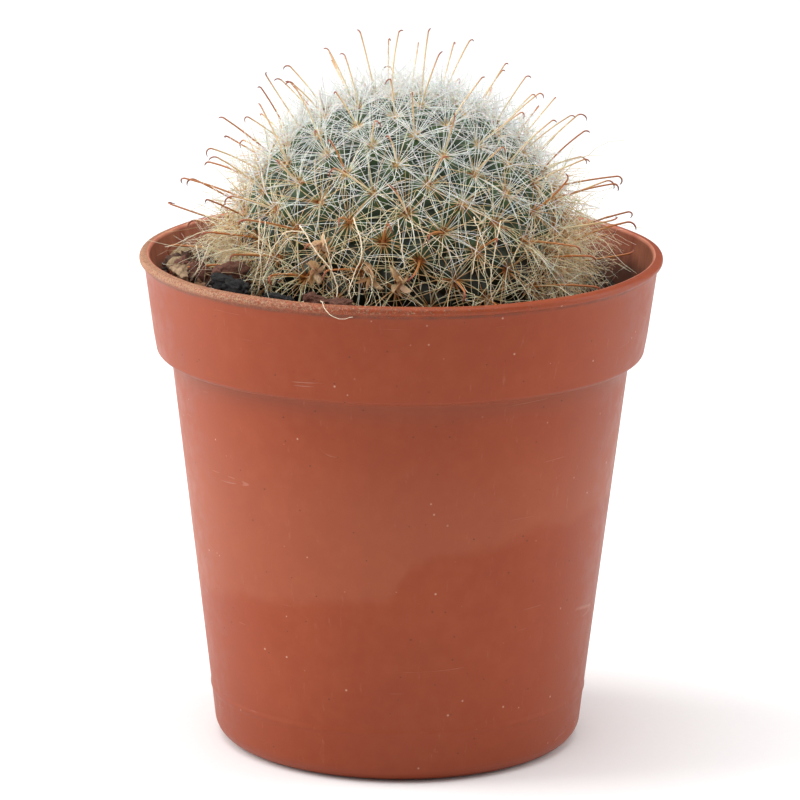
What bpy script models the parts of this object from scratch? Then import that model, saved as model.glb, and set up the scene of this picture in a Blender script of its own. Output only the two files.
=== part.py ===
"""A globular hook-spined cactus in a 9 cm plastic nursery pot.

The frame is metres with +Z up. The origin is the middle of the pot's foot, on the surface that
the pot stands on. Every size below is in metres unless its name says otherwise.
"""

from math import cos, pi, radians, sin, sqrt, tau

import bmesh
import bpy
from mathutils import Matrix, Vector, noise

MM = 0.001

# Driving dimensions of the pot.
RIM_RADIUS = 45 * MM
POT_HEIGHT = 86 * MM
WALL = 1.0 * MM
LIP_HEIGHT = 1.5 * MM
LIP_WIDTH = 1.8 * MM
BAND_TOP_RADIUS = 44.2 * MM
BAND_FOOT_RADIUS = 42.1 * MM
BAND_FOOT_HEIGHT = 68.7 * MM
BODY_TOP_RADIUS = 39.6 * MM
BODY_TAPER = 0.117
FOOT_CORNER = 3.8 * MM
FOOT_RING_INNER = 24.2 * MM
FLOOR_RAISE = 1.6 * MM
FLOOR_THICKNESS = 1.0 * MM
POT_SIDES = 56

# Drainage holes through the raised floor.
DRAIN_HOLES = 6
DRAIN_HOLE_RADIUS = 2.6 * MM
DRAIN_CIRCLE_RADIUS = 16.5 * MM

# Potting soil.
CLEARANCE = 0.35 * MM
SOIL_HEIGHT = 76.6 * MM
SOIL_HEAP = 6.2 * MM
SOIL_HEAP_BEARING = radians(222)
SOIL_ROUGHNESS = 0.7 * MM
SOIL_SIDES = 40

# The cactus stem: an ellipsoid through the tips of its tubercles.
STEM_RADIUS = 28.5 * MM
STEM_HALF_HEIGHT = 27.5 * MM
STEM_CENTRE_HEIGHT = 86.0 * MM
TUBERCLE_HEIGHT = 2.6 * MM
TUBERCLE_REACH = 0.165  # as a share of the stem's radius
GOLDEN_ANGLE = pi * (3 - sqrt(5))
# The areoles follow a left-handed golden spiral round an axis that leans back by a few degrees.
SPIRAL_START = radians(79.5)
SPIRAL_STEP = 0.00842
SPIRAL_TURNS = 156
SPIRAL_LEAN = Matrix.Rotation(radians(-10), 3, "X") @ Matrix.Rotation(radians(1.8), 3, "Y")
LOWEST_AREOLE_COSINE = -0.15
ROOT_TIP_HEIGHT = 59.0 * MM
BURIED_COSINE = -0.29
BURIED_RINGS = ((-0.42, 20), (-0.68, 14), (-0.9, 8))

# A spine cluster: the areole's pad, its radial spines and its hooked central spine.
CLUSTER_STEP = 3
PAD_SIDES = 8
PAD_RADIUS = 0.95 * MM
PAD_TOP_RADIUS = 0.6 * MM
PAD_HEIGHT = 0.55 * MM
RADIAL_LENGTH = 4.2 * MM
RADIAL_RISE = radians(20)
HOOK_BASE_RADIUS = 0.26 * MM
HOOK_TIP_RADIUS = 0.13 * MM
HOOK_SHAFT = 10.6 * MM
HOOK_BEND_RADIUS = 1.15 * MM
HOOK_BEND = radians(150)
HOOK_BEND_STEPS = 4
HOOK_LEAN = radians(7)
# Upward pull on where a cluster points, and the extra pull on the ones crowded by the pot's lip.
SPINE_LIFT = 0.18
LOW_SPINE_LIFT = 1.5
# Where the narrow ends of the dried flowers sit, close over the stem's skin.
HUSK_FOOT_RADIUS = 28.9 * MM

# A husk's rings as (share of its length, share of its half width): up its outside, then down inside.
HUSK_RINGS = ((0, 0.35), (0.35, 0.6), (0.75, 0.8), (1, 1.1), (0.97, 0.88), (0.55, 0.3))
HUSK_SIDES = 7

TERRACOTTA = (0.42, 0.12, 0.06)
SOIL_BROWN = (0.05, 0.032, 0.022)
STEM_GREEN = (0.07, 0.13, 0.05)
SPINE_CREAM = (0.72, 0.66, 0.5)
CHARCOAL = (0.02, 0.02, 0.022)
BARK_RED = (0.16, 0.06, 0.035)
STONE_TAN = (0.42, 0.34, 0.22)
HUSK_TAN = (0.5, 0.32, 0.15)


def clear_scene():
    for old in list(bpy.data.objects):
        bpy.data.objects.remove(old, do_unlink=True)


def material(name, colour, roughness):
    made = bpy.data.materials.new(name)
    made.use_nodes = True
    shader = made.node_tree.nodes["Principled BSDF"]
    shader.inputs["Base Color"].default_value = (*colour, 1)
    shader.inputs["Roughness"].default_value = roughness
    shader.inputs["Metallic"].default_value = 0.0
    made.diffuse_color = (*colour, 1)
    return made


def add_object(name, mesh, surface):
    made = bpy.data.objects.new(name, mesh)
    bpy.context.scene.collection.objects.link(made)
    if not mesh.materials:
        mesh.materials.append(surface)
    return made


def finish_mesh(name, shape, sharp_angle=40):
    """Turns a bmesh into a mesh that is smooth apart from edges over sharp_angle degrees."""
    bmesh.ops.recalc_face_normals(shape, faces=shape.faces)
    mesh = bpy.data.meshes.new(name)
    shape.to_mesh(mesh)
    shape.free()
    mesh.shade_smooth()
    mesh.set_sharp_from_angle(angle=radians(sharp_angle))
    return mesh


def turned(profile, sides):
    """A solid of revolution about Z from a list of (radius, height) that starts and ends on Z."""
    shape = bmesh.new()
    corners = [shape.verts.new((radius, 0, height)) for radius, height in profile]
    edges = [shape.edges.new(pair) for pair in zip(corners, corners[1:])]
    bmesh.ops.spin(
        shape,
        geom=corners + edges,
        cent=(0, 0, 0),
        axis=(0, 0, 1),
        angle=tau,
        steps=sides,
        use_duplicate=False,
    )
    bmesh.ops.remove_doubles(shape, verts=shape.verts, dist=0.002 * MM)
    return shape


def arc(centre, radius, start, end, steps):
    """Points (radius, height) along an arc, with its angles in degrees."""
    sweep = [radians(start + (end - start) * i / steps) for i in range(steps + 1)]
    return [(centre[0] + radius * cos(a), centre[1] + radius * sin(a)) for a in sweep]


def body_radius(height):
    """The outside of the pot's tapered body, below the band."""
    return BODY_TOP_RADIUS - BODY_TAPER * (BAND_FOOT_HEIGHT - height)


def band_radius(height):
    """The outside of the pot's band, between its foot and the lip."""
    slope = (BAND_TOP_RADIUS - BAND_FOOT_RADIUS) / (POT_HEIGHT - LIP_HEIGHT - BAND_FOOT_HEIGHT)
    return BAND_FOOT_RADIUS + slope * (height - BAND_FOOT_HEIGHT)


def inner_radius(height):
    """The inside of the pot's wall at a height."""
    over_step = height > BAND_FOOT_HEIGHT + WALL
    return (band_radius(height) if over_step else body_radius(height)) - WALL


def pot_profile():
    floor_top = FLOOR_RAISE + FLOOR_THICKNESS
    flat_radius = body_radius(FOOT_CORNER) - FOOT_CORNER
    lip_foot = POT_HEIGHT - LIP_HEIGHT
    lip_round = LIP_HEIGHT * 0.45
    band_round = 0.9 * MM
    outside = [(0, FLOOR_RAISE), (FOOT_RING_INNER - 0.6 * MM, FLOOR_RAISE), (FOOT_RING_INNER, 0)]
    outside += arc((flat_radius, FOOT_CORNER), FOOT_CORNER, -90, -6, 5)
    outside += [
        (body_radius(BAND_FOOT_HEIGHT - 0.5 * MM), BAND_FOOT_HEIGHT - 0.5 * MM),
        (BODY_TOP_RADIUS + 0.4 * MM, BAND_FOOT_HEIGHT),
    ]
    band_corner = (BAND_FOOT_RADIUS - band_round, BAND_FOOT_HEIGHT + band_round)
    outside += arc(band_corner, band_round, -90, -5, 3)
    outside += [
        (band_radius(lip_foot - 0.2 * MM), lip_foot - 0.2 * MM),
        (RIM_RADIUS - 0.25 * MM, lip_foot),
    ]
    outside += arc((RIM_RADIUS - lip_round, POT_HEIGHT - lip_round), lip_round, 0, 90, 3)
    inside = [
        (RIM_RADIUS - LIP_WIDTH + 0.35 * MM, POT_HEIGHT),
        (RIM_RADIUS - LIP_WIDTH, POT_HEIGHT - 0.5 * MM),
    ]
    shelf = BAND_FOOT_HEIGHT + WALL
    inside += [
        (inner_radius(shelf + 0.4 * MM), shelf + 0.4 * MM),
        (inner_radius(shelf), shelf - 0.2 * MM),
        (inner_radius(floor_top + 2.2 * MM), floor_top + 2.2 * MM),
        (flat_radius, floor_top),
        (0, floor_top),
    ]
    return outside + inside


def cylinder_cutter(name, radius, low, high, at):
    shape = bmesh.new()
    bmesh.ops.create_cone(
        shape,
        cap_ends=True,
        segments=12,
        radius1=radius,
        radius2=radius,
        depth=high - low,
        matrix=Matrix.Translation((at[0], at[1], (low + high) / 2)),
    )
    mesh = bpy.data.meshes.new(name)
    shape.to_mesh(mesh)
    shape.free()
    cutter = bpy.data.objects.new(name, mesh)
    bpy.context.scene.collection.objects.link(cutter)
    cutter.hide_render = True
    cutter.display_type = "WIRE"
    return cutter


def make_pot():
    mesh = finish_mesh("nursery_pot", turned(pot_profile(), POT_SIDES), 30)
    pot = add_object("nursery_pot", mesh, material("terracotta_plastic", TERRACOTTA, 0.42))
    for i in range(DRAIN_HOLES):
        turn = tau * (i + 0.5) / DRAIN_HOLES
        at = (DRAIN_CIRCLE_RADIUS * cos(turn), DRAIN_CIRCLE_RADIUS * sin(turn))
        hole = cylinder_cutter(f"drain_cutter_{i + 1}", DRAIN_HOLE_RADIUS, -1 * MM, 6 * MM, at)
        cut = pot.modifiers.new(hole.name, "BOOLEAN")
        cut.operation = "DIFFERENCE"
        cut.solver = "EXACT"
        cut.object = hole
    return pot


def stem_surface(cosine):
    """(radius, height) on the stem's smooth skin. cosine is 1 at the crown and -1 at the root tip."""
    skin_radius = STEM_RADIUS - TUBERCLE_HEIGHT
    skin_half_height = STEM_HALF_HEIGHT - TUBERCLE_HEIGHT
    side = sqrt(max(0, 1 - cosine * cosine))
    radius = skin_radius * side
    height = STEM_CENTRE_HEIGHT + skin_half_height * cosine
    if cosine >= BURIED_COSINE:
        return radius, height
    # Below the soil the stem narrows to a blunt root crown.
    share = (BURIED_COSINE - cosine) / (BURIED_COSINE + 1)
    neck_side = sqrt(1 - BURIED_COSINE * BURIED_COSINE)
    neck_height = STEM_CENTRE_HEIGHT + skin_half_height * BURIED_COSINE
    radius = skin_radius * neck_side * (1 - share) ** 0.75
    return radius, neck_height + (ROOT_TIP_HEIGHT - neck_height) * share


def areole_directions():
    """Unit vectors of the areoles, from the crown down to just over the soil."""
    found = []
    for n in range(SPIRAL_TURNS):
        cosine = 1 - SPIRAL_STEP * (n + 0.5)
        side = sqrt(1 - cosine * cosine)
        turn = SPIRAL_START - n * GOLDEN_ANGLE
        direction = SPIRAL_LEAN @ Vector((side * cos(turn), side * sin(turn), cosine))
        if direction.z > LOWEST_AREOLE_COSINE:
            found.append(direction)
    return found


def stem_point(direction, raised):
    """The point of the stem's skin in a direction, raised along it by a length."""
    radius, height = stem_surface(direction.z)
    flat = Vector((direction.x, direction.y, 0))
    flat = flat.normalized() if flat.length > 1e-6 else Vector((0, 0, 0))
    return flat * radius + Vector((0, 0, height)) + direction * raised


def tubercle_rise(direction, tips):
    """How far the nearest tubercle lifts the skin in a direction: a dome over each areole."""
    nearest = max(direction.dot(tip) for tip in tips)
    gap = sqrt(max(0, 2 - 2 * nearest))
    return TUBERCLE_HEIGHT * max(0, 1 - (gap / TUBERCLE_REACH) ** 2)


def make_stem():
    """Each tubercle tip is a corner of the hull of the areole directions, and each valley the middle
    of one of its faces."""
    tips = areole_directions()
    shape = bmesh.new()
    for tip in tips:
        shape.verts.new(tip)
    for cosine, count in BURIED_RINGS:
        side = sqrt(1 - cosine * cosine)
        for i in range(count):
            turn = tau * i / count
            shape.verts.new((side * cos(turn), side * sin(turn), cosine))
    shape.verts.new((0, 0, -1))
    shape.verts.new((0, 0, 1))
    bmesh.ops.convex_hull(shape, input=shape.verts)
    above_soil = [f for f in shape.faces if f.calc_center_median().z > LOWEST_AREOLE_COSINE * 0.8]
    bmesh.ops.poke(shape, faces=above_soil)
    split = [e for e in shape.edges if min(v.co.z for v in e.verts) > LOWEST_AREOLE_COSINE * 1.2]
    bmesh.ops.subdivide_edges(shape, edges=split, cuts=1, use_grid_fill=True)
    bmesh.ops.triangulate(shape, faces=shape.faces)
    for vert in shape.verts:
        direction = vert.co.normalized()
        vert.co = stem_point(direction, tubercle_rise(direction, tips))
    mesh = finish_mesh("cactus_stem", shape, 70)
    return add_object("cactus_stem", mesh, material("stem_skin", STEM_GREEN, 0.55))


def soil_top(radius, turn):
    """The soil's uneven surface, heaped against the wall at the front left and rough all over."""
    outward = min(1, max(0, (radius - 28 * MM) / (8 * MM)))
    outward = outward * outward * (3 - 2 * outward)
    heap = SOIL_HEAP * outward * (0.5 + 0.5 * cos(turn - SOIL_HEAP_BEARING)) ** 1.5
    at = Vector((radius * cos(turn), radius * sin(turn), 0)) / (6 * MM)
    return SOIL_HEIGHT + heap + SOIL_ROUGHNESS * noise.noise(at)


def make_soil():
    """A plug that fills the pot and has a socket for the stem's buried foot."""
    floor = FLOOR_RAISE + FLOOR_THICKNESS + CLEARANCE
    shelf = BAND_FOOT_HEIGHT + WALL
    neck_radius, neck_height = stem_surface(BURIED_COSINE)
    outer = [
        (0, floor),
        (body_radius(FOOT_CORNER) - FOOT_CORNER - CLEARANCE, floor),
        (inner_radius(floor + 2.4 * MM) - CLEARANCE, floor + 2.4 * MM),
        (inner_radius(shelf) - CLEARANCE, shelf - 0.2 * MM),
        (inner_radius(shelf + 0.8 * MM) - CLEARANCE, shelf + 0.8 * MM),
    ]
    wall_top = SOIL_HEIGHT - 1.2 * MM
    top_rings = [inner_radius(wall_top) - CLEARANCE, 38.5 * MM, 34.5 * MM, 30.5 * MM, 27.8 * MM]
    top = [(radius, SOIL_HEIGHT) for radius in top_rings]
    socket = [(neck_radius + 1.2 * MM, neck_height - 1.0 * MM)]
    for step in (0.25, 0.5, 0.75, 0.93):
        cosine = BURIED_COSINE - (1 + BURIED_COSINE) * step
        radius, height = stem_surface(cosine)
        socket.append((radius + 1.2 * MM, height - 0.6 * MM))
    socket.append((0, ROOT_TIP_HEIGHT - 1.2 * MM))
    shape = turned(outer + top + socket, SOIL_SIDES)
    for vert in shape.verts:
        radius = vert.co.xy.length
        if abs(vert.co.z - SOIL_HEIGHT) < 0.01 * MM:
            turn = vert.co.xy.angle_signed(Vector((1, 0)))
            vert.co.z = soil_top(radius, turn)
    mesh = finish_mesh("potting_soil", shape, 60)
    return add_object("potting_soil", mesh, material("peat_mix", SOIL_BROWN, 0.95))


def cluster_mesh(name, lean, shaft, radial_length):
    """One areole's cluster, grown up from its pad along +Z, as a single closed mesh.

    Each side of the pad is drawn out into a radial spine, and its top into the hooked spine.
    """
    shape = bmesh.new()
    bmesh.ops.create_cone(
        shape,
        cap_ends=True,
        segments=PAD_SIDES,
        radius1=PAD_RADIUS,
        radius2=PAD_TOP_RADIUS,
        depth=PAD_HEIGHT,
        matrix=Matrix.Translation((0, 0, PAD_HEIGHT / 2)),
    )
    shape.normal_update()
    sides = [f for f in shape.faces if len(f.verts) == 4]
    top = max(shape.faces, key=lambda f: f.calc_center_median().z)
    for number, side in enumerate(sides):
        outward = Vector((side.normal.x, side.normal.y, 0)).normalized()
        length = radial_length * (0.85 + 0.15 * cos(number * 2.4))
        reach = outward * cos(RADIAL_RISE) + Vector((0, 0, 1)) * sin(RADIAL_RISE)
        tip = side.calc_center_median() + reach * length
        drawn = bmesh.ops.extrude_discrete_faces(shape, faces=[side])["faces"][0]
        bmesh.ops.pointmerge(shape, verts=drawn.verts, merge_co=tip)
    hook_path = hook_points(lean, shaft)
    ring = top
    for number, (point, forward) in enumerate(hook_path):
        share = number / (len(hook_path) - 1)
        radius = HOOK_BASE_RADIUS + (HOOK_TIP_RADIUS - HOOK_BASE_RADIUS) * share
        ring = bmesh.ops.extrude_discrete_faces(shape, faces=[ring])["faces"][0]
        across = Vector((0, 1, 0))
        bend = across.cross(forward)
        for i, vert in enumerate(ring.verts):
            turn = tau * i / len(ring.verts)
            vert.co = point + (bend * cos(turn) + across * sin(turn)) * radius
    last, forward = hook_path[-1]
    bmesh.ops.pointmerge(shape, verts=ring.verts, merge_co=last + forward * 0.5 * MM)
    return finish_mesh(name, shape, 50)


def hook_points(lean, shaft):
    """(point, direction) down a hooked spine's middle line, in the plane of X and Z."""
    start = Vector((0, 0, PAD_HEIGHT + 0.25 * MM))
    forward = Vector((sin(lean), 0, cos(lean)))
    shaft_end = start + forward * shaft
    toward = Vector((cos(lean), 0, -sin(lean)))
    middle = shaft_end + toward * HOOK_BEND_RADIUS
    found = [(start, forward), (shaft_end, forward)]
    for step in range(1, HOOK_BEND_STEPS + 1):
        turn = HOOK_BEND * step / HOOK_BEND_STEPS
        point = middle + (forward * sin(turn) - toward * cos(turn)) * HOOK_BEND_RADIUS
        found.append((point, forward * cos(turn) + toward * sin(turn)))
    return found


def make_spine_clusters():
    """Every third areole of the spiral carries a cluster as a solid of its own."""
    surface = material("spine_horn", SPINE_CREAM, 0.5)
    kinds = [
        cluster_mesh("cluster_crown", HOOK_LEAN, HOOK_SHAFT * 0.9, RADIAL_LENGTH * 0.85),
        cluster_mesh("cluster_side", HOOK_LEAN, HOOK_SHAFT, RADIAL_LENGTH),
        cluster_mesh("cluster_low", HOOK_LEAN * 2, HOOK_SHAFT * 1.05, RADIAL_LENGTH * 0.7),
    ]
    tips = areole_directions()
    chosen = range(1, len(tips), CLUSTER_STEP)
    for number, n in enumerate(chosen):
        direction = tips[n]
        kind = kinds[0] if direction.z > 0.8 else kinds[1] if direction.z > 0.25 else kinds[2]
        made = add_object(f"spine_cluster_{number + 1:02d}", kind, surface)
        made.location = stem_point(direction, TUBERCLE_HEIGHT + CLEARANCE)
        outward = direction + Vector((0, 0, SPINE_LIFT + LOW_SPINE_LIFT * max(0, 0.2 - direction.z)))
        turn = Matrix.Rotation(n * 1.7, 4, "Z")
        made.rotation_euler = (outward.to_track_quat("Z", "Y").to_matrix().to_4x4() @ turn).to_euler()


def rough_mesh(name, shape, size, seed, roughness):
    """Stretches a unit shape to a size and pushes its surface in and out by noise."""
    for vert in shape.verts:
        push = noise.noise(vert.co * 1.3 + Vector((seed, seed * 0.7, -seed)))
        vert.co = vert.co * (1 + roughness * push)
        vert.co = Vector(a * b / 2 for a, b in zip(vert.co, size))
    return finish_mesh(name, shape, 35)


def pebble(name, size, seed, surface):
    """A rounded stone."""
    shape = bmesh.new()
    bmesh.ops.create_icosphere(shape, subdivisions=2, radius=1)
    return add_object(name, rough_mesh(name, shape, size, seed, 0.2), surface)


def chip(name, size, seed, surface):
    """A broken piece of bark or charcoal, with flat faces and worn corners."""
    shape = bmesh.new()
    bmesh.ops.create_cube(shape, size=2)
    bmesh.ops.bevel(shape, geom=shape.edges, offset=0.35, segments=1, affect="EDGES")
    return add_object(name, rough_mesh(name, shape, size, seed, 0.35), surface)


def husk(name, length, width, seed, surface):
    """A dried flower: a crumpled cup, narrow where it left the stem and flared at its far end."""
    shape = bmesh.new()
    rings = []
    for share, spread in HUSK_RINGS:
        ring = []
        for i in range(HUSK_SIDES):
            turn = tau * i / HUSK_SIDES
            reach = spread * width / 2 * (1 + 0.25 * sin(3 * turn + seed))
            point = (share * length, cos(turn) * reach, 0.75 * sin(turn) * reach)
            ring.append(shape.verts.new(point))
        rings.append(ring)
    for low, high in zip(rings, rings[1:]):
        for i in range(HUSK_SIDES):
            j = (i + 1) % HUSK_SIDES
            shape.faces.new((low[i], low[j], high[j], high[i]))
    shape.faces.new(rings[0])
    shape.faces.new(rings[-1])
    bmesh.ops.triangulate(shape, faces=shape.faces)
    return add_object(name, finish_mesh(name, shape, 45), surface)


def lay(piece, radius, bearing, lift, spin=0.0, tilt=0.0):
    """Lays a piece on the soil: lift is from the soil up to the piece's middle, angles in degrees."""
    turn = radians(bearing)
    height = soil_top(radius, turn) + lift
    piece.location = (radius * cos(turn), radius * sin(turn), height)
    piece.rotation_euler = (0, radians(tilt), radians(spin))


def lodge(piece, bearing, height, tilt):
    """Stands a husk out from between two tubercles, its narrow end to the stem."""
    turn = radians(bearing)
    radius = HUSK_FOOT_RADIUS
    piece.location = (radius * cos(turn), radius * sin(turn), height)
    piece.rotation_euler = (0, radians(-tilt), turn)


def make_top_dressing():
    """Loose bark, stones and a rolled husk on the soil between the stem and the pot's wall."""
    charcoal = material("charcoal", CHARCOAL, 0.8)
    bark = material("bark", BARK_RED, 0.9)
    stone = material("pale_stone", STONE_TAN, 0.75)
    charcoal_chip = chip("charcoal_chip", (7.6 * MM, 2.4 * MM, 2.1 * MM), 1.3, charcoal)
    charcoal_sliver = chip("charcoal_sliver", (5.0 * MM, 2.0 * MM, 1.7 * MM), 2.9, charcoal)
    red_bark = chip("red_bark_chip", (6.2 * MM, 3.8 * MM, 4.6 * MM), 4.1, bark)
    flake = chip("bark_flake", (4.6 * MM, 3.0 * MM, 2.6 * MM), 5.6, bark)
    crumb = chip("bark_crumb", (3.6 * MM, 2.4 * MM, 2.2 * MM), 7.2, bark)
    pale = pebble("pale_pebble", (4.4 * MM, 3.6 * MM, 3.0 * MM), 8.8, stone)
    back = pebble("back_pebble", (4.8 * MM, 4.2 * MM, 3.2 * MM), 9.9, stone)
    lay(charcoal_chip, 38.9 * MM, 223, 2.5 * MM, -38, 6)
    lay(charcoal_sliver, 39.6 * MM, 239, 2.3 * MM, -30, 4)
    lay(red_bark, 34.6 * MM, 214, 3.4 * MM, 24)
    lay(flake, 38.2 * MM, 249, 2.6 * MM, -12, 10)
    lay(crumb, 40.4 * MM, 256, 2.8 * MM, 30)
    lay(pale, 38.9 * MM, 190, 2.6 * MM, 70)
    lay(back, 38.0 * MM, 172, 2.4 * MM, -15)


def make_husks():
    surface = material("dry_husk", HUSK_TAN, 0.7)
    rolled = husk("rolled_husk", 5.2 * MM, 2.8 * MM, 0.4, surface)
    lay(rolled, 41.2 * MM, 208, 2.6 * MM, 106, -6)
    lodge(husk("dry_flower_1", 3.8 * MM, 3.0 * MM, 1.1, surface), 245, 88.6 * MM, 5)
    lodge(husk("dry_flower_2", 4.2 * MM, 2.4 * MM, 2.3, surface), 247, 92.4 * MM, 25)
    lodge(husk("dry_flower_3", 3.6 * MM, 2.8 * MM, 3.2, surface), 262, 87.9 * MM, 4)
    lodge(husk("dry_flower_4", 4.4 * MM, 2.6 * MM, 4.6, surface), 270, 88.0 * MM, -6)


def main():
    clear_scene()
    make_pot()
    make_soil()
    make_stem()
    make_spine_clusters()
    make_top_dressing()
    make_husks()


main()
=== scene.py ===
"""The looks of a round hook-spined cactus in a terracotta-coloured nursery pot.

Every length is in metres in the CAD's frame: +Z up, origin under the middle of the pot's foot.
"""

from math import atan2, cos, pi, radians, sin, sqrt, tau

import bmesh
import bpy
import numpy as np
from mathutils import Matrix, Vector, noise


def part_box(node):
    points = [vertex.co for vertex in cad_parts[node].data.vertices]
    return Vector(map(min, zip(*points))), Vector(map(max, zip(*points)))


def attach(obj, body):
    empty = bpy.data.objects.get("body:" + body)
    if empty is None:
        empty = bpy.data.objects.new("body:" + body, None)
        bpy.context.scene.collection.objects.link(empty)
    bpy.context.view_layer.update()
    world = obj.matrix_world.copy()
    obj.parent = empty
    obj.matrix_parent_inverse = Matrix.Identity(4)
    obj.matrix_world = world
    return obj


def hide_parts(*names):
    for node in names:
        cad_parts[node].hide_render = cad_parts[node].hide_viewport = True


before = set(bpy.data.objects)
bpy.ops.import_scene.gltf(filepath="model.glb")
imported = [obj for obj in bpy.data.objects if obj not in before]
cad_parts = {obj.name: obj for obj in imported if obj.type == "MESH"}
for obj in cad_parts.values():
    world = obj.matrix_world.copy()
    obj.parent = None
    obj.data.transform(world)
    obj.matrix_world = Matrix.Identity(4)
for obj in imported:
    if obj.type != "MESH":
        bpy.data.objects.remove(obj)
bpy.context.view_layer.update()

MM = 0.001
BODY = "root"

# ---- sizes taken from the CAD model
pot_low, pot_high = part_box("nursery_pot")
stem_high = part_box("cactus_stem")[1]
POT_HEIGHT = pot_high.z
RIM_RADIUS = (pot_high.x - pot_low.x) / 2
STEM_RADIUS = 28.5 * MM
STEM_HALF_HEIGHT = 27.5 * MM
STEM_SIZE = np.array((STEM_RADIUS, STEM_RADIUS, STEM_HALF_HEIGHT))
STEM_CENTRE = Vector((0, 0, stem_high.z - STEM_HALF_HEIGHT))

# The pot's outline, as in the CAD model.
WALL = 1.0 * MM
LIP_HEIGHT = 1.5 * MM
LIP_WIDTH = 1.8 * MM
BAND_TOP_RADIUS = 44.2 * MM
BAND_FOOT_RADIUS = 42.1 * MM
BAND_FOOT_HEIGHT = 68.7 * MM
BODY_TOP_RADIUS = 39.6 * MM
BODY_TAPER = 0.117
FOOT_CORNER = 3.8 * MM
FOOT_RING_INNER = 24.2 * MM
FLOOR_RAISE = 1.6 * MM
FLOOR_THICKNESS = 1.0 * MM
POT_SIDES = 200
DRAIN_HOLES = 6
DRAIN_HOLE_RADIUS = 2.6 * MM
DRAIN_CIRCLE_RADIUS = 16.5 * MM

# The soil's outline, as in the CAD model.
SOIL_HEIGHT = 76.6 * MM
SOIL_HEAP = 6.2 * MM
SOIL_HEAP_BEARING = radians(222)

# The spiral that the tubercles grow in, as in the CAD model.
GOLDEN_ANGLE = pi * (3 - sqrt(5))
SPIRAL_START = radians(79.5)
SPIRAL_STEP = 0.00842
SPIRAL_TURNS = 156
SPIRAL_LEAN = Matrix.Rotation(radians(-10), 3, "X") @ Matrix.Rotation(radians(1.8), 3, "Y")
LOWEST_AREOLE_COSINE = -0.15
CLUSTER_STEP = 3
TUBERCLE_HEIGHT = 2.6 * MM
TUBERCLE_REACH = 0.165

# Areoles above YOUNG_HEIGHT are young, and those that are AGEING_DROP lower are old.
YOUNG_HEIGHT = 106 * MM
AGEING_DROP = 21 * MM

# Rows of the strand material: each row is one tint, and a strand's UVs lie in its row.
STYLE_ROWS = 64
WHITE, CREAM, TAN, YOUNG_HOOK, OLD_HOOK = 0, 16, 32, 48, 56
STRAND_COLOURS = {
    WHITE: (
        (0.0, (0.66, 0.36, 0.10)),
        (0.08, (0.90, 0.72, 0.42)),
        (0.18, (0.84, 0.85, 0.81)),
        (1.0, (0.87, 0.88, 0.88)),
    ),
    CREAM: (
        (0.0, (0.36, 0.09, 0.02)),
        (0.10, (0.66, 0.32, 0.09)),
        (0.24, (0.84, 0.72, 0.46)),
        (1.0, (0.92, 0.85, 0.66)),
    ),
    TAN: (
        (0.0, (0.32, 0.07, 0.018)),
        (0.14, (0.56, 0.26, 0.08)),
        (0.4, (0.72, 0.49, 0.24)),
        (1.0, (0.76, 0.56, 0.33)),
    ),
    YOUNG_HOOK: (
        (0.0, (0.86, 0.78, 0.56)),
        (0.33, (0.76, 0.58, 0.32)),
        (0.55, (0.42, 0.17, 0.07)),
        (0.75, (0.26, 0.07, 0.03)),
        (1.0, (0.18, 0.04, 0.02)),
    ),
    OLD_HOOK: (
        (0.0, (0.60, 0.27, 0.07)),
        (0.4, (0.48, 0.18, 0.05)),
        (0.7, (0.30, 0.07, 0.025)),
        (1.0, (0.12, 0.025, 0.014)),
    ),
}

# How many pieces are scattered on the soil, and how many hairs stand on the crown.
CRUMBS = 950
SPLINTERS = 60
MOUND_LUMPS = 16
CROWN_HAIRS = 400

# Where the camera stands, its lens in millimetres, and how far it looks down and leans, in degrees.
CAMERA_PLACE = (0, -0.893, 0.2786)
CAMERA_LENS = 238.6
CAMERA_DROP = 13.776
CAMERA_ROLL = 0.5

# Everything that is scattered draws from here, so each run makes the same plant.
chance = np.random.default_rng(20)


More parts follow.
